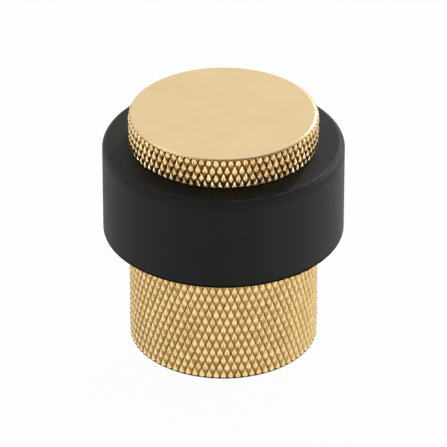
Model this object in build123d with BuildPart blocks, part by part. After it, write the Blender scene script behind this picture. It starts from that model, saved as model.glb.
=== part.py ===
"""Floor door stop: a knurled brass base and cap, with a rubber ring clamped between them.

The base is screwed to the floor through the hole in its middle. The ring slips over the spigot on
top of the base. The cap's stud then screws down into the spigot, which grips the ring and hides the
floor screw. The origin is the middle of the underside, +Z runs up the axis, sizes are millimetres.
"""

import os
from math import ceil, pi

from build123d import *

# Knurled bar that the base and the cap are both turned from
BAR_DIAMETER = 30.0  # over the points of the knurl
KNURL_PITCH = 1.18  # width of one diamond, measured round the bar
DIAMOND_HEIGHT = 2.8  # length of one diamond, measured along the bar
KNURL_DEPTH = 0.45  # from the points down to where the grooves cross

# Base
BASE_HEIGHT = 19.5  # floor to the shoulder under the ring
BASE_BAR_START = 2.3  # height up the bar, from a level of its points, at which the foot is cut
BASE_FOOT_WIDTH = 0.5  # chamfer round the foot, deeper than the knurl, measured across it
BASE_FOOT_HEIGHT = 0.4  # the same chamfer, measured up the side
SHOULDER_CHAMFER = 0.3  # edge of the shoulder under the ring
SPIGOT_WALL = 5.0  # brass between the tapped bore and the ring
SPIGOT_CHAMFER = 0.6  # leads the ring on
SPIGOT_RELIEF = 0.2  # the spigot stops short of the cap, so that the cap grips the ring

# Fixing to the floor, with a countersunk screw whose head goes down through the tapped bore
SCREW_HOLE_DIAMETER = 5.5
SCREW_HEAD_DIAMETER = 10.4
SCREW_HEAD_ANGLE = 90.0
HEAD_CLEARANCE = 0.8  # round the screw's head, inside the tapped bore
WEB_THICKNESS = 8.0  # brass under the tapped bore, which the screw pulls down on
HOLE_CHAMFER = 0.5  # mouth of the screw hole, in the underside

# Rubber ring
RING_DIAMETER = 38.0
RING_HEIGHT = 15.5
RING_CLEARANCE = 0.1  # between the ring and the spigot
RING_EDGE_RADIUS = 1.0  # upper outer edge
RING_FOOT_RADIUS = 0.3  # lower outer edge
RING_MOUTH_CHAMFER = 0.8  # edges of the hole

# Cap
CAP_THICKNESS = 5.0
CAP_BAR_START = 1.55  # height up the bar, from a level of its points, at which the underside is cut
CAP_BEVEL_WIDTH = 0.7  # bright bevel round the top, measured across it
CAP_BEVEL_HEIGHT = 0.3  # the same bevel, measured down the side
CAP_LOWER_CHAMFER = 0.3  # edge that bears on the ring
STUD_LENGTH = 12.0
STUD_CHAMFER = 1.0
THREAD_CLEARANCE = 0.1  # between the stud and the tapped bore

# Places and sizes that follow from the values above
bar_radius = BAR_DIAMETER / 2
bore_radius = SCREW_HEAD_DIAMETER / 2 + HEAD_CLEARANCE
spigot_radius = bore_radius + SPIGOT_WALL
stud_radius = bore_radius - THREAD_CLEARANCE
cap_underside = BASE_HEIGHT + RING_HEIGHT
spigot_top = cap_underside - SPIGOT_RELIEF


def knurled_bar(length):
    """Bar with a diamond knurl, standing on z = 0 and at least as long as asked.

    Left-hand and right-hand grooves cross on a lattice. Round each level of it, points and groove
    crossings take turns, and the next level up starts half a diamond further round. The cell between
    four neighbours of the lattice is parted by a groove, and the flanks on its two sides are flat.
    """
    diamonds_round = round(pi * BAR_DIAMETER / KNURL_PITCH)
    level_height = DIAMOND_HEIGHT / 2
    levels = ceil(length / level_height)
    steps_round = 2 * diamonds_round

    def corner(level, step):
        is_point = (level + step) % 2 == 0
        radius = bar_radius if is_point else bar_radius - KNURL_DEPTH
        return Vector(radius, 0, level * level_height).rotate(Axis.Z, step * 360 / steps_round)

    def flat_face(*corners):
        return Face(Wire.make_polygon(corners, close=True))

    faces = []
    for level in range(levels):
        for step in range(steps_round):
            near = corner(level, step)
            far = corner(level, step + 1)
            near_above = corner(level + 1, step)
            far_above = corner(level + 1, step + 1)
            if (level + step) % 2 == 0:
                faces.append(flat_face(near, far, near_above))
                faces.append(flat_face(far, far_above, near_above))
            else:
                faces.append(flat_face(near, far, far_above))
                faces.append(flat_face(near, far_above, near_above))
    for level in (0, levels):
        faces.append(flat_face(*(corner(level, step) for step in range(steps_round))))
    return Solid(Shell(faces))


def knurled_blank(height, bar_start, lower_cone, upper_cone):
    """Piece cut from the knurled bar, from bar_start up, with both of its edges turned to a cone.

    Each cone is given as its width across the edge and its height along the side.
    """
    lower_width, lower_height = lower_cone
    upper_width, upper_height = upper_cone
    bar = knurled_bar(bar_start + height)
    beyond_points = KNURL_DEPTH  # a cone runs on, out past the points of the knurl
    outside = bar_radius + beyond_points
    lower_slope = lower_height / lower_width
    upper_slope = upper_height / upper_width
    with BuildPart() as blank:
        with Locations((0, 0, -bar_start)):
            add(bar)
        with BuildSketch(Plane.XZ):
            with BuildLine():
                Polyline(
                    (0, 0),
                    (bar_radius - lower_width, 0),
                    (outside, lower_height + beyond_points * lower_slope),
                    (outside, height - upper_height - beyond_points * upper_slope),
                    (bar_radius - upper_width, height),
                    (0, height),
                    close=True,
                )
            make_face()
        revolve(axis=Axis.Z, mode=Mode.INTERSECT)
    return blank.part


# Base: knurled skirt on the floor, with the spigot, tapped bore and screw hole up its middle
base_blank = knurled_blank(
    BASE_HEIGHT,
    BASE_BAR_START,
    lower_cone=(BASE_FOOT_WIDTH, BASE_FOOT_HEIGHT),
    upper_cone=(SHOULDER_CHAMFER, SHOULDER_CHAMFER),
)
with BuildPart() as base:
    with BuildSketch(Plane.XY):
        Circle(spigot_radius)
    extrude(amount=spigot_top)
    chamfer(base.edges().sort_by(Axis.Z)[-1], SPIGOT_CHAMFER)
    add(base_blank)
    with Locations((0, 0, spigot_top)):
        Hole(bore_radius, depth=spigot_top - WEB_THICKNESS)
    with Locations((0, 0, WEB_THICKNESS)):
        CounterSinkHole(
            SCREW_HOLE_DIAMETER / 2,
            SCREW_HEAD_DIAMETER / 2,
            depth=WEB_THICKNESS,
            counter_sink_angle=SCREW_HEAD_ANGLE,
        )
    hole_mouth = base.faces().sort_by(Axis.Z)[0].inner_wires()[0]
    chamfer(hole_mouth.edges(), HOLE_CHAMFER)
base.part.label = "base"

# Rubber ring: one moulding, held between the shoulder of the base and the cap
with BuildPart() as ring:
    with BuildSketch(Plane.XY.offset(BASE_HEIGHT)):
        Circle(RING_DIAMETER / 2)
        Circle(spigot_radius + RING_CLEARANCE, mode=Mode.SUBTRACT)
    extrude(amount=RING_HEIGHT)
    hole_edges = ring.edges().filter_by(GeomType.CIRCLE).group_by(SortBy.RADIUS)[0]
    chamfer(hole_edges, RING_MOUTH_CHAMFER)
    fillet(ring.faces().sort_by(Axis.Z)[-1].outer_wire().edges(), RING_EDGE_RADIUS)
    fillet(ring.faces().sort_by(Axis.Z)[0].outer_wire().edges(), RING_FOOT_RADIUS)
ring.part.label = "rubber_ring"

# Cap: knurled disc with a bright bevelled top, turned in one with its threaded stud
cap_blank = knurled_blank(
    CAP_THICKNESS,
    CAP_BAR_START,
    lower_cone=(CAP_LOWER_CHAMFER, CAP_LOWER_CHAMFER),
    upper_cone=(CAP_BEVEL_WIDTH, CAP_BEVEL_HEIGHT),
)
with BuildPart() as cap:
    with BuildSketch(Plane.XY.offset(cap_underside)):
        Circle(stud_radius)
    extrude(amount=-STUD_LENGTH)
    chamfer(cap.edges().sort_by(Axis.Z)[0], STUD_CHAMFER)
    with Locations((0, 0, cap_underside)):
        add(cap_blank)
cap.part.label = "cap"

os.makedirs("parts", exist_ok=True)
for piece in (base, ring, cap):
    export_step(piece.part, f"parts/{piece.part.label}.step")
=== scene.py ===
"""Looks of a floor door stop: knurled satin brass base and cap, with a black rubber ring between them."""

from math import cos, pi, radians, sin

import bpy
import numpy as np
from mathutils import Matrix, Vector


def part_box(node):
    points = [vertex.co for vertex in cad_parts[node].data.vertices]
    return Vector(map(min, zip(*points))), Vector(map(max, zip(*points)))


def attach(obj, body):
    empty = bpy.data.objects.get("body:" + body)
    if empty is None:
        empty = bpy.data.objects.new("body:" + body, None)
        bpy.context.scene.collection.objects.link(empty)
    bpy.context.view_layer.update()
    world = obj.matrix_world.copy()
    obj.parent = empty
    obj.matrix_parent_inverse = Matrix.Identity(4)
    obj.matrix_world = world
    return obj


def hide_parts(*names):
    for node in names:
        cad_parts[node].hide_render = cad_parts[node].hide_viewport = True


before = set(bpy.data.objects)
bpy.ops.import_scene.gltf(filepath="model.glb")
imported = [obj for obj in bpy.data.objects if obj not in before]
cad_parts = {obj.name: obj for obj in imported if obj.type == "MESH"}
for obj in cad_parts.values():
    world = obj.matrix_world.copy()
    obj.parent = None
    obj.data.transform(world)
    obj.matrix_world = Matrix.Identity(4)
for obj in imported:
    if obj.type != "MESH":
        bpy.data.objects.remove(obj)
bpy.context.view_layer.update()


# Base
# A length of brass bar, rolled between two knurling wheels, then faced, chamfered, bored and tapped on
# the lathe. It stands on the floor, is screwed down through its middle, and carries the ring on a spigot.
mm = 0.001
base_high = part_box("base")[1]
ring_low, ring_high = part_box("rubber_ring")
bar_radius = base_high.x
shoulder_height = ring_low.z
spigot_top = base_high.z

diamonds_round = 80
diamond_height = 2.8 * mm
knurl_depth = 0.45 * mm
bulge = (1.15, 1.5)  # power of the flanks' curve on the leanest and the fullest diamond, 1 being flat
ridge_power = 6.0  # how sharp the ridges between the flanks are
dent_depth = 0.012  # unevenness of the flanks, as a share of the knurl's depth
cleft_depth = 0.2  # depth of the deepest clefts, as a share of the knurl's depth
cleft_least = 0.3  # depth of the shallowest clefts, as a share of the deepest
cleft_width = 0.22  # from the middle of a cleft to its side, as a share of half a diamond's width
cleft_middle = 0.08  # height of a cleft's middle above the tip, as a share of half a diamond's height
cleft_height = 0.28  # from the middle of a cleft to its end, as a share of half a diamond's height
under_start = 0.1  # height above the tip below which a flank starts to face down, as the same share
under_rate = 6.0  # how fast it turns to the painted shade of a flank that faces down
polish = (0.7, 1.25)  # factor on the climb, for the colour of the dullest and the brightest diamond
highlight_climb = 2.2  # further factor on it, a painted highlight on the lowest diamonds of a wall
dirt_climb = 0.05  # climb below which a point is in a groove, where dirt is left
dirt_share = 0.004  # share of the points in the grooves that hold a speck of dirt
foot_shade = 0.8  # how dark the painted shade along the lower edge of a knurled wall is, from 0 to 1

cells_per_half = 6  # mesh cells across half a diamond
knurl_steps = 2 * cells_per_half * diamonds_round
cell_height = diamond_height / 2 / cells_per_half
row_gap = 0.3 * cell_height  # least gap between the knurl's rows and those over a chamfer
plain_steps = knurl_steps // 6  # mesh cells round what isn't knurled, a whole share of the knurl's
cone_rows = 5  # mesh rows over a chamfer
front = -pi / 2
sharp_angle = radians(30)

base_first_tips = 0.5 * mm  # height of the lowest tip at the front
foot_width = 0.5 * mm
foot_height = 0.4 * mm
shoulder_chamfer = 0.3 * mm
spigot_radius = 11.0 * mm
spigot_chamfer = 0.6 * mm
bore_radius = 6.0 * mm
screw_head_radius = 5.2 * mm
screw_hole_radius = 2.75 * mm
web_top = 8.0 * mm
hole_chamfer = 0.5 * mm
thread_pitch = 1.25 * mm
thread_depth = 0.6 * mm
thread_clearance = 0.1 * mm
thread_rows = 6  # mesh rows for each turn of thread
thread_lead_in = 0.3 * mm
thread_run_out = 0.5 * mm
tapped_depth = 13.0 * mm
plain_marks = {"climb": 1.0, "under": 0.0, "cleft": 0.0, "turned": 1.0, "dirt_and_shade": 0.0, "painted_edge_light": 0.0}


def between(limits, share):
    """Value at a share of the way from the first limit to the second."""
    first, second = limits
    return first + (second - first) * share


def knurl_relief(turn, rise, drop, draws):
    """How far the knurl stands out, from 0 where grooves cross to 1 on a full tip, with three marks for its
    colour: the climb from the nearest groove to the tip, how far a point is under its tip, and the cleft.

    Turn counts diamonds round the bar, and rise counts them along it. Their sum and their difference
    count the two families of grooves, which lie midway between whole numbers. The distances from the tip
    across both, u and v, go from 0 to 1, and ((u^n + v^n) / 2)^(1/n) is the fall of a pyramid with rounded
    ridges. A power of it makes the flanks bulge, because rolling presses the metal up between the grooves.
    The metal meets last in the middle of the tip, where a cleft is left. The wheel's feed drags the tip down
    by a share of half a diamond's height, given as the least and the most. That share, the power, the depth
    of the cleft and the polish are drawn for each diamond.
    """
    left = turn + rise
    right = turn - rise
    left_tip = np.rint(left)
    right_tip = np.rint(right)
    across = left - left_tip + right - right_tip
    above = left - left_tip - right + right_tip
    climb = 1 - np.abs(across) - np.abs(above)
    level = (left_tip - right_tip).astype(int) % diamonds_round
    column = np.floor((left_tip + right_tip) / 2).astype(int) % diamonds_round
    powers, clefts, drops, polishes = draws.random((4, diamonds_round, diamonds_round))[:, level, column]
    above = above + between(drop, drops) * climb
    u = np.abs(across + above)
    v = np.abs(across - above)
    fall = ((u**ridge_power + v**ridge_power) / 2) ** (1 / ridge_power)
    cleft = between((cleft_least, 1.0), clefts) * np.clip(1 - np.abs(across) / cleft_width, 0.0, 1.0)
    cleft = cleft * (np.abs(above - cleft_middle) < cleft_height)
    relief = 1 - fall ** between(bulge, powers) - cleft_depth * cleft
    under = np.clip(-under_rate * (above - under_start), 0.0, 1.0)
    return relief, climb * between(polish, polishes), under, cleft


def turned_rows(radius, height):
    """Points of a surface turned about the z axis: point j of row i is at radius[i, j] and height[i],
    and its angle goes once round the axis from the front as j grows."""
    steps = radius.shape[1]
    angle = front + 2 * pi * np.arange(steps) / steps
    level = np.broadcast_to(height[:, None], radius.shape)
    return np.stack([radius * np.cos(angle), radius * np.sin(angle), level], axis=-1)


def knurled_wall(bottom, top, first_tips, lower_cone, upper_cone, foot_shade_height, highlight_height, drop, seed):
    """Rows of points up a knurled wall, the diagonal that parts the cells above each row, and the marks
    of the points.

    A point stands at the bar's radius less the knurl's depth where there is a groove, and never outside
    the cones that bevel the two edges, each given as its width and height. Rows follow the knurl's
    lattice, so that the grooves run along mesh edges, with closer rows over the cones. The wall is
    painted dark, as shade, up to the first height after the cones above its bottom, and its diamonds are
    painted brighter, as a highlight, up to the second. Drop is how far the tips are dragged down, least
    and most.
    """
    lower_width, lower_height = lower_cone
    upper_width, upper_height = upper_cone
    lower = np.linspace(bottom, bottom + lower_height, cone_rows)
    upper = np.linspace(top - upper_height, top, cone_rows)
    below = np.floor((bottom - first_tips) / cell_height)
    above = np.ceil((top - first_tips) / cell_height)
    lattice = first_tips + cell_height * np.arange(below, above + 1)
    inside = (lattice > lower[-1] + row_gap) & (lattice < upper[0] - row_gap)
    height = np.concatenate([lower, lattice[inside], upper])

    draws = np.random.default_rng(seed)
    step = np.arange(knurl_steps)
    turn = step / (2 * cells_per_half)
    rise = (height - first_tips) / diamond_height
    relief, climb, under, cleft = knurl_relief(turn[None, :], rise[:, None], drop, draws)
    # Painted highlight: the lowest diamonds reach the rim's bright colour sooner.
    climb = climb * np.where(height < bottom + highlight_height, highlight_climb, 1.0)[:, None]
    relief = np.clip(relief + dent_depth * draws.normal(size=relief.shape), 0.0, 1.0)
    lower_limit = bar_radius - lower_width + lower_width / lower_height * (height - bottom)
    upper_limit = bar_radius - upper_width + upper_width / upper_height * (top - height)
    cone = np.minimum(lower_limit, upper_limit)[:, None]
    knurl = bar_radius - knurl_depth * (1 - relief)
    points = turned_rows(np.minimum(knurl, cone), height)

    middle_rise = (rise[:-1] + rise[1:]) / 2
    cell = np.floor(2 * middle_rise)[:, None] + (step // cells_per_half)[None, :]
    falling = cell % 2 == 0
    dirt_and_shade = (climb < dirt_climb) & (draws.random(relief.shape) < dirt_share)
    dirt_and_shade = dirt_and_shade | np.roll(dirt_and_shade, 1, axis=1)
    # Painted shade along the bottom of the wall, over the specks of dirt.
    dirt_and_shade = np.maximum(dirt_and_shade, foot_shade * (height < bottom + foot_shade_height)[:, None])
    marks = {"climb": climb, "under": under, "cleft": cleft, "turned": cone < knurl, "dirt_and_shade": dirt_and_shade}
    return points, falling, marks


def plain_rows(corners):
    """Rows of points round the corners of a profile, given in order as (radius, height)."""
    radius, height = np.array(corners).T
    return turned_rows(np.repeat(radius[:, None], plain_steps, axis=1), height), None, {}


def thread_rows_between(low, high, radius):
    """Rows of points up a right-hand screw thread. Its V falls from the radius at the crest to
    thread_depth less, evenly both ways, as height / pitch less angle / turn goes through one."""
    rows = int(round((high - low) / thread_pitch * thread_rows)) + 1
    height = np.linspace(low, high, rows)
    turn = np.arange(plain_steps) / plain_steps
    climb = height[:, None] / thread_pitch - turn[None, :]
    groove = 1 - np.abs(2 * (climb - np.floor(climb)) - 1)
    return turned_rows(radius - thread_depth * groove, height)


def turned_piece(name, groups, closed):
    """Mesh object of a turned piece, skinned over its rows of points in order.

    Each group is its rows of points, its falling diagonals or None, and its marks. Between rows of unlike
    counts, a point of the shorter one serves an equal share of the longer one's, and the triangles that
    shrink to nothing there are left out. A closed piece joins its last row to its first.
    """
    rows = []
    diagonals = []
    values = {mark_name: [] for mark_name in plain_marks}
    for points, falling, marks in groups:
        rows.extend(points)
        diagonals.extend([None] * len(points) if falling is None else [*falling, None])
        for mark_name, plain in plain_marks.items():
            given = marks.get(mark_name, plain)
            values[mark_name].append(np.broadcast_to(given, points.shape[:2]).ravel())
    firsts = np.cumsum([0] + [len(row) for row in rows])
    numbers = [np.arange(first, last) for first, last in zip(firsts[:-1], firsts[1:])]
    pairs = list(zip(numbers[:-1], numbers[1:], diagonals[:-1]))
    if closed:
        pairs.append((numbers[-1], numbers[0], None))
    triangles = []
    for low, high, falling in pairs:
        count = max(len(low), len(high))
        near_low = np.repeat(low, count // len(low))
        near_high = np.repeat(high, count // len(high))
        far_low = np.roll(near_low, -1)
        far_high = np.roll(near_high, -1)
        parted = np.zeros(count, bool) if falling is None else falling
        triangles.append(np.stack([near_low, far_low, np.where(parted, near_high, far_high)], axis=1))
        triangles.append(np.stack([np.where(parted, far_low, near_low), far_high, near_high], axis=1))
    triangles = np.concatenate(triangles)
    a, b, c = triangles.T
    triangles = triangles[(a != b) & (b != c) & (c != a)]

    mesh = bpy.data.meshes.new(name)
    mesh.from_pydata(np.concatenate(rows).tolist(), [], triangles.tolist())
    for mark_name, parts in values.items():
        attribute = mesh.attributes.new(mark_name, "FLOAT", "POINT")
        attribute.data.foreach_set("value", np.concatenate(parts).astype(np.float32))
    mesh.shade_smooth()
    mesh.set_sharp_from_angle(angle=sharp_angle)
    piece = bpy.data.objects.new(name, mesh)
    bpy.context.scene.collection.objects.link(piece)
    return piece


base_wall = knurled_wall(
    0.0,
    shoulder_height,
    base_first_tips,
    lower_cone=(foot_width, foot_height),
    upper_cone=(shoulder_chamfer, shoulder_chamfer),
    foot_shade_height=0.45 * mm,
    highlight_height=0.0,
    drop=(0.1, 0.35),
    seed=3,
)
spigot = plain_rows(
    [
        (spigot_radius, shoulder_height),
        (spigot_radius, spigot_top - spigot_chamfer),
        (spigot_radius - spigot_chamfer, spigot_top),
        (bore_radius, spigot_top),
    ]
)
tapped = thread_rows_between(spigot_top - tapped_depth, spigot_top - thread_lead_in, bore_radius)[::-1]
screw_hole = plain_rows(
    [
        (bore_radius, spigot_top - tapped_depth - thread_run_out),
        (bore_radius, web_top),
        (screw_head_radius, web_top),
        (screw_hole_radius, web_top - screw_head_radius + screw_hole_radius),
        (screw_hole_radius, hole_chamfer),
        (screw_hole_radius + hole_chamfer, 0.0),
    ]
)
brass_base = turned_piece("brass_base", [base_wall, spigot, (tapped, None, {}), screw_hole], closed=True)


def new_material(name):
    """A material with its node tree emptied but for a Principled BSDF that feeds the output."""
    material = bpy.data.materials.new(name)
    material.use_nodes = True
    nodes = material.node_tree.nodes
    nodes.clear()
    shader = nodes.new("ShaderNodeBsdfPrincipled")
    output = nodes.new("ShaderNodeOutputMaterial")
    material.node_tree.links.new(shader.outputs["BSDF"], output.inputs["Surface"])
    return material, nodes, material.node_tree.links, shader


def satin_grain_group():
    """Node group for the fine grain and the faint cloudiness of a satin surface, both from 0 to 1."""
    grain_detail = 3.0
    cloud_detail = 2.0
    group = bpy.data.node_groups.new("satin_grain", "ShaderNodeTree")
    for socket_name in ("Grain Scale", "Cloud Scale"):
        group.interface.new_socket(socket_name, in_out="INPUT", socket_type="NodeSocketFloat")
    for socket_name in ("Grain", "Cloud"):
        group.interface.new_socket(socket_name, in_out="OUTPUT", socket_type="NodeSocketFloat")
    nodes, links = group.nodes, group.links
    inputs = nodes.new("NodeGroupInput")
    outputs = nodes.new("NodeGroupOutput")
    place = nodes.new("ShaderNodeTexCoord")
    for output_name, detail in (("Grain", grain_detail), ("Cloud", cloud_detail)):
        noise = nodes.new("ShaderNodeTexNoise")
        noise.inputs["Detail"].default_value = detail
        links.new(place.outputs["Object"], noise.inputs["Vector"])
        links.new(inputs.outputs[f"{output_name} Scale"], noise.inputs["Scale"])
        links.new(noise.outputs["Fac"], outputs.inputs[output_name])
    return group


satin_grain = satin_grain_group()
cloud_low = 0.3  # cloudiness under which a surface is as dark as it gets
cloud_high = 0.7  # and over which it is as light as it gets


def add_grain(nodes, links, shader, grain_scale, cloud_scale, bump_strength, bump_depth):
    """The grain and the cloudiness of a material, whose grain also roughens its surface as bump.

    The scales are in features for each metre.
    """
    grain = nodes.new("ShaderNodeGroup")
    grain.node_tree = satin_grain
    grain.inputs["Grain Scale"].default_value = grain_scale
    grain.inputs["Cloud Scale"].default_value = cloud_scale
    bump = nodes.new("ShaderNodeBump")
    bump.inputs["Strength"].default_value = bump_strength
    bump.inputs["Distance"].default_value = bump_depth
    links.new(grain.outputs["Grain"], bump.inputs["Height"])
    links.new(bump.outputs["Normal"], shader.inputs["Normal"])
    return grain.outputs["Grain"], grain.outputs["Cloud"]


def ramp(nodes, links, value, stops):
    """Colour ramp over a value. Stops are (position, colour)."""
    node = nodes.new("ShaderNodeValToRGB")
    elements = node.color_ramp.elements
    elements[0].position, elements[0].color = stops[0][0], (*stops[0][1], 1.0)
    elements[1].position, elements[1].color = stops[-1][0], (*stops[-1][1], 1.0)
    for position, color in stops[1:-1]:
        elements.new(position).color = (*color, 1.0)
    links.new(value, node.inputs["Fac"])
    return node.outputs["Color"]


def span(nodes, links, value, low, high):
    """Value that goes from low to high as another goes from 0 to 1."""
    node = nodes.new("ShaderNodeMapRange")
    node.inputs["To Min"].default_value = low
    node.inputs["To Max"].default_value = high
    links.new(value, node.inputs["Value"])
    return node.outputs["Result"]


def mark(nodes, name):
    """The value of one of the marks that a turned piece's points carry."""
    node = nodes.new("ShaderNodeAttribute")
    node.attribute_name = name
    return node.outputs["Fac"]


def mixed(nodes, links, data_type, factor, first, second, blend="MIX"):
    """Mix of two colours or values. Each of the three is a socket or a constant."""
    node = nodes.new("ShaderNodeMix")
    node.data_type = data_type
    node.blend_type = blend
    places = [socket for socket in node.inputs if socket.enabled and socket.name in ("Factor", "A", "B")]
    for socket, given in zip(places, (factor, first, second)):
        if isinstance(given, bpy.types.NodeSocket):
            links.new(given, socket)
        else:
            socket.default_value = given
    return next(socket for socket in node.outputs if socket.enabled)


def satin_brass(name, climbs, rim_highlight_color, flank_color, under_shade_color, groove_shade_color, cleft_shade_color, turned_color):
    """Satin brass, with light and shade painted on its rolled knurl: painted shade in the grooves that grows
    into a painted highlight towards the tips, deeper and duller paint on the flanks that face down, as shade
    warmed by light bounced off the brass, darker painted shade in the clefts, and painted shade along the
    lower edge of a wall. A few specks of dirt are left in the grooves, and it is of an even satin where the
    lathe has cut it.

    Climbs are those at which a flank that faces up has the colour of a flank and that of the painted
    highlight on a rim.
    """
    groove_climb = 0.02  # up to which a groove keeps its painted shade
    under_climb = 0.2  # from which a flank that faces down has its full painted shade
    dirt_and_shade_color = (0.015, 0.01, 0.006, 1.0)
    cloud_color = (0.97, 0.965, 0.955)
    clear_color = (1.0, 1.0, 1.0)
    rolled_roughness = (0.14, 0.24)
    under_roughness = (0.28, 0.38)
    turned_roughness = (0.22, 0.3)
    material, nodes, links, shader = new_material(name)
    grain, cloudiness = add_grain(
        nodes, links, shader, grain_scale=9000.0, cloud_scale=180.0, bump_strength=0.12, bump_depth=0.01 * mm
    )
    climb = mark(nodes, "climb")
    flank_climb, rim_climb = climbs
    # Painted light on the knurl: shade in the grooves, growing into a highlight towards the tips.
    upper_stops = [(groove_climb, groove_shade_color), (flank_climb, flank_color), (rim_climb, rim_highlight_color)]
    upper = ramp(nodes, links, climb, upper_stops)
    # Painted shade on the flanks that face down, warmed as by light bounced off the brass.
    lower = ramp(nodes, links, climb, [(groove_climb, groove_shade_color), (under_climb, under_shade_color)])
    under = mark(nodes, "under")
    whole = mixed(nodes, links, "RGBA", under, upper, lower)
    # Painted shade in the clefts.
    rolled = mixed(nodes, links, "RGBA", mark(nodes, "cleft"), whole, (*cleft_shade_color, 1.0))
    turned = mark(nodes, "turned")
    clean = mixed(nodes, links, "RGBA", turned, rolled, (*turned_color, 1.0))
    cloud = ramp(nodes, links, cloudiness, [(cloud_low, cloud_color), (cloud_high, clear_color)])
    clouded = mixed(nodes, links, "RGBA", 1.0, clean, cloud, "MULTIPLY")
    # Specks of dirt, and painted shade along the lower edge of a wall.
    color = mixed(nodes, links, "RGBA", mark(nodes, "dirt_and_shade"), clouded, dirt_and_shade_color)
    links.new(color, shader.inputs["Base Color"])
    upper_gloss = span(nodes, links, grain, *rolled_roughness)
    lower_gloss = span(nodes, links, grain, *under_roughness)
    rolled_gloss = mixed(nodes, links, "FLOAT", under, upper_gloss, lower_gloss)
    turned_gloss = span(nodes, links, grain, *turned_roughness)
    links.new(mixed(nodes, links, "FLOAT", turned, rolled_gloss, turned_gloss), shader.inputs["Roughness"])
    shader.inputs["Metallic"].default_value = 1.0
    return material


brass_base.data.materials.append(
    satin_brass(
        "knurled_brass",
        climbs=(0.25, 0.62),
        rim_highlight_color=(1.0, 0.77, 0.42),
        flank_color=(0.88, 0.61, 0.245),
        under_shade_color=(0.97, 0.68, 0.27),
        groove_shade_color=(0.37, 0.21, 0.055),
        cleft_shade_color=(0.14, 0.05, 0.006),
        turned_color=(0.82, 0.62, 0.335),
    )
)
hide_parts("base")
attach(brass_base, "root")


# Rubber ring
# A thick ring moulded in black rubber, a little shiny from its mould, which the door meets. It slips on
# to the spigot. A thin, uneven lip of flash is left round its upper outer edge, and a burr at its lower one.
ring_radius = ring_high.x
ring_hole_radius = 11.1 * mm
ring_edge_radius = 1.0 * mm
ring_foot_radius = 0.3 * mm
ring_mouth_chamfer = 0.8 * mm
ring_steps = 720
edge_rows = 28
foot_rows = 8
wall_rows = 15
foot_shade_fade = 0.3 * mm  # over which the painted shade of the lower edge turns into the wall
lip_height = 0.035 * mm
lip_width = 0.07 * mm
lip_angle = 62.0  # degrees up the rounded edge
lip_middle = radians(42)  # the side on which the lip is largest, from the front round to the right
lip_reach = radians(38)
lip_least = 0.1  # size of the lip far from that side, as a share of its size there
lip_even = 0.5  # even part of the lip's size along the edge
lip_uneven = 0.6  # part of it that wanders
lip_most = 1.5  # where it is cut off
burr_middle = radians(41)  # the side on which a burr fills the rounded lower edge
burr_reach = radians(14)
edge_light_share = 0.12  # how far the edge is painted grey as a highlight, from 0 to 1
lip_light_share = 0.9  # the same painted highlight on the lip, where it is largest


def wander(angle, seed, waves, spread):
    """Smooth uneven value round a circle, near 0 and mostly within 1: a sum of waves that go a whole number
    of times round, each of a drawn size and phase, growing weaker as they get shorter."""
    draws = np.random.default_rng(seed)
    turns = np.arange(1, waves + 1)
    size = draws.normal(size=waves) * np.exp(-turns / spread)
    phase = draws.uniform(0, 2 * pi, waves)
    value = (size * np.sin(turns * angle[:, None] + phase)).sum(axis=1)
    return value / value.std()


def near_side(angle, middle, reach):
    """Bell-shaped value round a circle: 1 at the middle, and 1/e at the reach on both sides of it."""
    from_middle = np.angle(np.exp(1j * (angle - middle)))
    return np.exp(-((from_middle / reach) ** 2))


def edge_arc(center_radius, center_height, radius, angle):
    """Points of an arc of a profile, as (radius, height), at angles in radians."""
    return np.stack([center_radius + radius * np.cos(angle), center_height + radius * np.sin(angle)], axis=1)


def push_out(points, arc_angle, turn, amount):
    """Move the points of a turned arc away from the arc's centre. Row i of the points is at arc_angle[i],
    point j of it is at turn[j] from the front, and it moves by amount[i, j]."""
    outward = amount * np.cos(arc_angle)[:, None]
    points[..., 0] += outward * np.cos(front + turn)
    points[..., 1] += outward * np.sin(front + turn)
    points[..., 2] += amount * np.sin(arc_angle)[:, None]


foot_angle = np.radians(np.linspace(-90, 0, foot_rows))
edge_degrees = np.linspace(0, 90, edge_rows)
edge_angle = np.radians(edge_degrees)
wall_low = ring_low.z + ring_foot_radius
wall_high = ring_high.z - ring_edge_radius
ring_foot = edge_arc(ring_radius - ring_foot_radius, wall_low, ring_foot_radius, foot_angle)
wall_height = np.linspace(wall_low, wall_high, wall_rows + 1)[1:-1]
wall_height = np.concatenate([[wall_low + foot_shade_fade], wall_height])
ring_wall = np.stack([np.full(wall_rows, ring_radius), wall_height], axis=1)
ring_edge = edge_arc(ring_radius - ring_edge_radius, wall_high, ring_edge_radius, edge_angle)
ring_hole = [
    (ring_hole_radius + ring_mouth_chamfer, ring_high.z),
    (ring_hole_radius, ring_high.z - ring_mouth_chamfer),
    (ring_hole_radius, ring_low.z + ring_mouth_chamfer),
    (ring_hole_radius + ring_mouth_chamfer, ring_low.z),
]
ring_profile = np.concatenate([ring_foot, ring_wall, ring_edge, ring_hole])
ring_turn = 2 * pi * np.arange(ring_steps) / ring_steps
ring_points = turned_rows(np.repeat(ring_profile[:, :1], ring_steps, axis=1), ring_profile[:, 1])
edge_start = foot_rows + wall_rows
edge_part = slice(edge_start, edge_start + edge_rows)

lip_wander = wander(ring_turn, seed=5, waves=200, spread=90.0)
lip_size = lip_least + (1 - lip_least) * near_side(ring_turn, lip_middle, lip_reach)
lip_size = lip_size * np.clip(lip_even + lip_uneven * lip_wander, 0.0, lip_most)
from_lip = ring_edge_radius * np.radians(edge_degrees - lip_angle) / lip_width
lip = lip_height * np.exp(-(from_lip**2))[:, None] * lip_size
push_out(ring_points[edge_part], edge_angle, ring_turn, lip)

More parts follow.
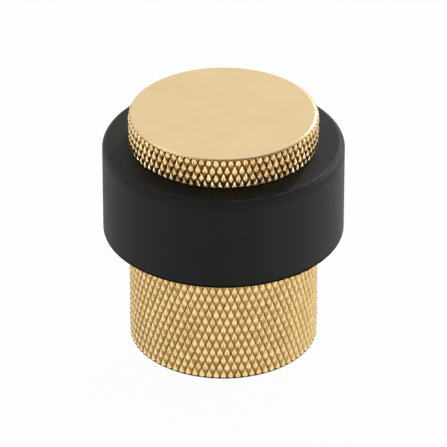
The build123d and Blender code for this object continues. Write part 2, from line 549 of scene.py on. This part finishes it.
burr_wander = wander(ring_turn, seed=8, waves=240, spread=120.0)
burr_size = near_side(ring_turn, burr_middle, burr_reach) * np.clip(burr_wander, 0.0, 1.0)
to_corner = 1 / np.maximum(np.cos(foot_angle), -np.sin(foot_angle)) - 1  # out to the arc's square corner
burr = ring_foot_radius * to_corner[:, None] * burr_size
push_out(ring_points[:foot_rows], foot_angle, ring_turn, burr)

row = np.arange(len(ring_profile))[:, None]
# Painted highlight: the rounded upper edge and its lip are painted grey where light catches them.
painted_edge_light = np.zeros(ring_points.shape[:2])
painted_edge_light[edge_part] = edge_light_share * np.sin(np.radians(2 * edge_degrees))[:, None]
painted_edge_light[edge_part] += lip_light_share * lip / lip_height
# The lower edge carries the mark for painted shade.
ring_marks = {"turned": row >= edge_start, "dirt_and_shade": row < foot_rows, "painted_edge_light": painted_edge_light}
buffer_ring = turned_piece("buffer_ring", [(ring_points, None, ring_marks)], closed=True)


def black_rubber():
    """Black moulded rubber: satin, with a fine mould grain and faint clouds of bloom, a painted grey
    highlight on its upper edge and lip, and painted dull black shade at its lower edge. The mark for turned
    brass tells its ends from its wall here."""
    wall_dark = (0.006, 0.006, 0.006)
    wall_light = (0.009, 0.009, 0.009)
    end_color = (0.011, 0.011, 0.011, 1.0)
    # Painted highlight on the upper edge and lip, and painted shade on the lower edge.
    edge_light_color = (0.12, 0.12, 0.12, 1.0)
    foot_shade_color = (0.002, 0.002, 0.002, 1.0)
    wall_roughness = (0.45, 0.55)
    end_roughness = (0.5, 0.56)
    wall_specular = 0.3
    end_specular = 0.2
    foot_shade_specular = 0.02
    material, nodes, links, shader = new_material("black_rubber")
    grain, cloudiness = add_grain(
        nodes, links, shader, grain_scale=5000.0, cloud_scale=220.0, bump_strength=0.2, bump_depth=0.02 * mm
    )
    wall = ramp(nodes, links, cloudiness, [(cloud_low, wall_dark), (cloud_high, wall_light)])
    end = mark(nodes, "turned")
    clean = mixed(nodes, links, "RGBA", end, wall, end_color)
    edge_lit = mixed(nodes, links, "RGBA", mark(nodes, "painted_edge_light"), clean, edge_light_color)
    # The lower edge is painted black as shade, and loses its shine.
    shaded_foot = mark(nodes, "dirt_and_shade")
    links.new(mixed(nodes, links, "RGBA", shaded_foot, edge_lit, foot_shade_color), shader.inputs["Base Color"])
    wall_gloss = span(nodes, links, cloudiness, *wall_roughness)
    end_gloss = span(nodes, links, cloudiness, *end_roughness)
    links.new(mixed(nodes, links, "FLOAT", end, wall_gloss, end_gloss), shader.inputs["Roughness"])
    specular = mixed(nodes, links, "FLOAT", end, wall_specular, end_specular)
    specular = mixed(nodes, links, "FLOAT", shaded_foot, specular, foot_shade_specular)
    links.new(specular, shader.inputs["Specular IOR Level"])
    return material


buffer_ring.data.materials.append(black_rubber())
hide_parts("rubber_ring")
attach(buffer_ring, "root")


# Cap
# A disc parted off the same knurled bar, with a flat satin top and a bevel round it, turned in one with
# the stud under it. The stud screws down into the base, grips the ring and hides the floor screw.
cap_low, cap_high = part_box("cap")
cap_underside = ring_high.z
cap_first_tips = cap_underside + 1.25 * mm  # height of a level of tips at the front
cap_bevel_width = 0.7 * mm
cap_bevel_height = 0.3 * mm
cap_lower_chamfer = 0.3 * mm
stud_radius = bore_radius - thread_clearance
stud_core = stud_radius - thread_depth
stud_chamfer = 1.0 * mm
stud_neck_height = 0.8 * mm
top_rings = 6
top_edge_width = 0.06 * mm  # over which the flat top turns into the bevel

cap_wall = knurled_wall(
    cap_underside,
    cap_high.z,
    cap_first_tips,
    lower_cone=(cap_lower_chamfer, cap_lower_chamfer),
    upper_cone=(cap_bevel_width, cap_bevel_height),
    foot_shade_height=0.15 * mm,
    highlight_height=1.2 * mm,
    drop=(0.0, 0.2),
    seed=11,
)
stud_end = turned_rows(np.zeros((1, 1)), np.array([cap_low.z]))
stud_foot = plain_rows([(stud_radius - stud_chamfer, cap_low.z), (stud_core, cap_low.z + stud_chamfer)])
stud_thread = thread_rows_between(
    cap_low.z + stud_chamfer + thread_lead_in, cap_underside - stud_neck_height - thread_lead_in, stud_radius
)
stud_neck = plain_rows([(stud_core, cap_underside - stud_neck_height), (stud_core, cap_underside)])
top_radius = bar_radius - cap_bevel_width
top_edge = (top_radius - top_edge_width, cap_high.z)
top_face = plain_rows(
    [top_edge, *((top_radius * (1 - ring / top_rings), cap_high.z) for ring in range(1, top_rings))]
)
top_centre = turned_rows(np.zeros((1, 1)), np.array([cap_high.z]))
brass_cap = turned_piece(
    "brass_cap",
    [
        (stud_end, None, {}),
        stud_foot,
        (stud_thread, None, {}),
        stud_neck,
        cap_wall,
        top_face,
        (top_centre, None, {}),
    ],
    closed=False,
)
brass_cap.data.materials.append(
    satin_brass(
        "faced_brass",
        climbs=(0.2, 0.6),
        rim_highlight_color=(1.0, 0.8, 0.5),
        flank_color=(0.84, 0.54, 0.2),
        under_shade_color=(0.8, 0.51, 0.18),
        groove_shade_color=(0.11, 0.04, 0.006),
        cleft_shade_color=(0.08, 0.035, 0.008),
        turned_color=(0.82, 0.62, 0.335),
    )
)
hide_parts("cap")
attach(brass_cap, "root")


# Floor
# A plain matt sheet that the stop stands on. It shows white and keeps a faint shadow. In reflections it is
# white where it is seen along its surface, dim from above, and lighter at both sides and behind.
floor_radius = 3.0
floor_steps = 96
floor_drop = 0.01 * mm
floor_color = (0.8, 0.8, 0.8, 1.0)
floor_roughness = 0.9
camera_glow = 0.97
steep_glow = 0.15
flat_glow = 1.0
steep_facing = 0.48  # facing up to which the floor counts as seen from above
flat_facing = 0.7  # and from which it counts as seen along its surface
right_axis = Vector((0.97, -0.25, 0.0)).normalized()
right_glow = 0.62
left_axis = Vector((-0.87, -0.49, 0.0)).normalized()
left_glow = 0.16
side_start = 0.6  # cosine of the angle from a side's axis at which its glow starts
back_axis = Vector((0.55, 0.83, 0.0)).normalized()
back_glow = 0.75
back_start = 0.8  # the same for the back
floor_angle = 2 * pi * np.arange(floor_steps) / floor_steps
floor_points = np.stack(
    [
        floor_radius * np.cos(floor_angle),
        floor_radius * np.sin(floor_angle),
        np.full(floor_steps, -floor_drop),
    ],
    axis=1,
)
floor_mesh = bpy.data.meshes.new("floor")
floor_mesh.from_pydata(floor_points.tolist(), [], [list(range(floor_steps))])
floor = bpy.data.objects.new("floor", floor_mesh)
bpy.context.scene.collection.objects.link(floor)
floor_material, nodes, links, shader = new_material("white_sweep")
shader.inputs["Base Color"].default_value = floor_color
shader.inputs["Roughness"].default_value = floor_roughness
shader.inputs["Specular IOR Level"].default_value = 0.0
path = nodes.new("ShaderNodeLightPath")
glow = nodes.new("ShaderNodeEmission")
glow.inputs["Strength"].default_value = 1.0


def joined(operation, first, second):
    """Maximum or product of two values, in the floor's material. The second is a socket or a constant."""
    node = nodes.new("ShaderNodeMath")
    node.operation = operation
    links.new(first, node.inputs[0])
    if isinstance(second, bpy.types.NodeSocket):
        links.new(second, node.inputs[1])
    else:
        node.inputs[1].default_value = second
    return node.outputs["Value"]


# In reflections the floor's glow is a painted sheen, white where the floor is seen along its surface, and
# the glows at the right, the left and behind are painted pools of light.
facing = nodes.new("ShaderNodeLayerWeight")
facing.inputs["Blend"].default_value = 0.5
sheen = nodes.new("ShaderNodeMapRange")
sheen.interpolation_type = "SMOOTHSTEP"
sheen.inputs["From Min"].default_value = steep_facing
sheen.inputs["From Max"].default_value = flat_facing
sheen.inputs["To Min"].default_value = steep_glow
sheen.inputs["To Max"].default_value = flat_glow
links.new(facing.outputs["Facing"], sheen.inputs["Value"])
place = nodes.new("ShaderNodeTexCoord")
bearing = nodes.new("ShaderNodeVectorMath")
bearing.operation = "NORMALIZE"
links.new(place.outputs["Object"], bearing.inputs[0])
reflected_glow = sheen.outputs["Result"]
for side_axis, glow_start, side_glow in (
    (right_axis, side_start, right_glow),
    (left_axis, side_start, left_glow),
    (back_axis, back_start, back_glow),
):
    toward_side = nodes.new("ShaderNodeVectorMath")
    toward_side.operation = "DOT_PRODUCT"
    toward_side.inputs[1].default_value = side_axis
    links.new(bearing.outputs["Vector"], toward_side.inputs[0])
    side = nodes.new("ShaderNodeMapRange")
    side.interpolation_type = "SMOOTHSTEP"
    side.inputs["From Min"].default_value = glow_start
    side.inputs["To Max"].default_value = side_glow
    links.new(toward_side.outputs["Value"], side.inputs["Value"])
    reflected_glow = joined("MAXIMUM", reflected_glow, side.outputs["Result"])
in_metal = joined("MAXIMUM", path.outputs["Is Glossy Ray"], path.outputs["Is Transmission Ray"])
share = joined(
    "MAXIMUM",
    joined("MULTIPLY", path.outputs["Is Camera Ray"], camera_glow),
    joined("MULTIPLY", in_metal, reflected_glow),
)
blend = nodes.new("ShaderNodeMixShader")
links.new(share, blend.inputs["Fac"])
links.new(shader.outputs["BSDF"], blend.inputs[1])
links.new(glow.outputs["Emission"], blend.inputs[2])
output = next(node for node in nodes if node.type == "OUTPUT_MATERIAL")
links.new(blend.outputs["Shader"], output.inputs["Surface"])
floor_mesh.materials.append(floor_material)


# Light
# A dim room, with a bright backdrop behind the stop and a darker gap round it. Large softboxes stand at both
# sides, a small one behind on the right, one high behind on the left, and low strips in front at both sides.
backdrop_axis = Vector((0.0, 0.86, 0.51)).normalized()
backdrop_light = (0.95, 0.95, 0.95)
room_light = (0.28, 0.28, 0.28)
gap_light = (0.14, 0.14, 0.14)
room_edge = 0.3  # cosine of the angle from the backdrop's axis at which the room starts to darken
gap_outer = 0.5  # the same for the outer edge of the gap
gap_inner = 0.72  # for its inner edge
backdrop_edge = 0.88  # and for where the backdrop is at its brightest
aim = Vector((0.0, 0.0, 0.02))
world = bpy.data.worlds.new("studio")
bpy.context.scene.world = world
world.use_nodes = True
nodes, links = world.node_tree.nodes, world.node_tree.links
nodes.clear()
direction = nodes.new("ShaderNodeTexCoord")
toward_backdrop = nodes.new("ShaderNodeVectorMath")
toward_backdrop.operation = "DOT_PRODUCT"
toward_backdrop.inputs[1].default_value = backdrop_axis
links.new(direction.outputs["Generated"], toward_backdrop.inputs[0])
surround = ramp(
    nodes,
    links,
    toward_backdrop.outputs["Value"],
    [
        (room_edge, room_light),
        (gap_outer, gap_light),
        (gap_inner, gap_light),
        (backdrop_edge, backdrop_light),
    ],
)
background = nodes.new("ShaderNodeBackground")
links.new(surround, background.inputs["Color"])
world_output = nodes.new("ShaderNodeOutputWorld")
links.new(background.outputs["Background"], world_output.inputs["Surface"])


def softbox(name, place, width, height, power):
    """Area lamp that faces the stop. Sizes are metres, power is watts."""
    lamp = bpy.data.lights.new(name, "AREA")
    lamp.shape = "RECTANGLE"
    lamp.size = width
    lamp.size_y = height
    lamp.energy = power
    light = bpy.data.objects.new(name, lamp)
    light.location = place
    light.rotation_euler = (aim - Vector(place)).to_track_quat("-Z", "Y").to_euler()
    bpy.context.scene.collection.objects.link(light)


softbox("right_softbox", place=(0.58, 0.32, 0.18), width=0.5, height=0.3, power=2.4)
softbox("left_softbox", place=(-0.54, 0.28, 0.18), width=0.4, height=0.3, power=0.65)
softbox("back_right_softbox", place=(0.27, 0.68, 0.42), width=0.08, height=0.08, power=1.3)
softbox("back_left_softbox", place=(-0.29, 0.26, 0.7), width=0.35, height=0.35, power=0.35)
softbox("low_right_softbox", place=(0.53, -0.37, 0.04), width=0.5, height=0.07, power=0.33)
softbox("low_left_softbox", place=(-0.53, -0.37, 0.04), width=0.5, height=0.07, power=0.32)


# Camera
# A long lens from in front, looking down on the stop. Its place and its focal length, in pixels of the
# picture, were fitted to the edges of the top, the cap, the ring and the base.
elevation = radians(31.13)
distance = 0.763
focal_pixels = 4828.0
image_pixels = 447.0
look_at = Vector((0.0, 0.0, 0.01981))
camera_data = bpy.data.cameras.new("camera")
camera_data.sensor_width = 36.0
camera_data.lens = focal_pixels / image_pixels * camera_data.sensor_width
camera_data.clip_start = 0.01
camera = bpy.data.objects.new("camera", camera_data)
camera.location = look_at + distance * Vector((0.0, -cos(elevation), sin(elevation)))
camera.rotation_euler = (look_at - camera.location).to_track_quat("-Z", "Y").to_euler()
bpy.context.scene.collection.objects.link(camera)
bpy.context.scene.camera = camera
bpy.context.scene.view_settings.view_transform = "Standard"
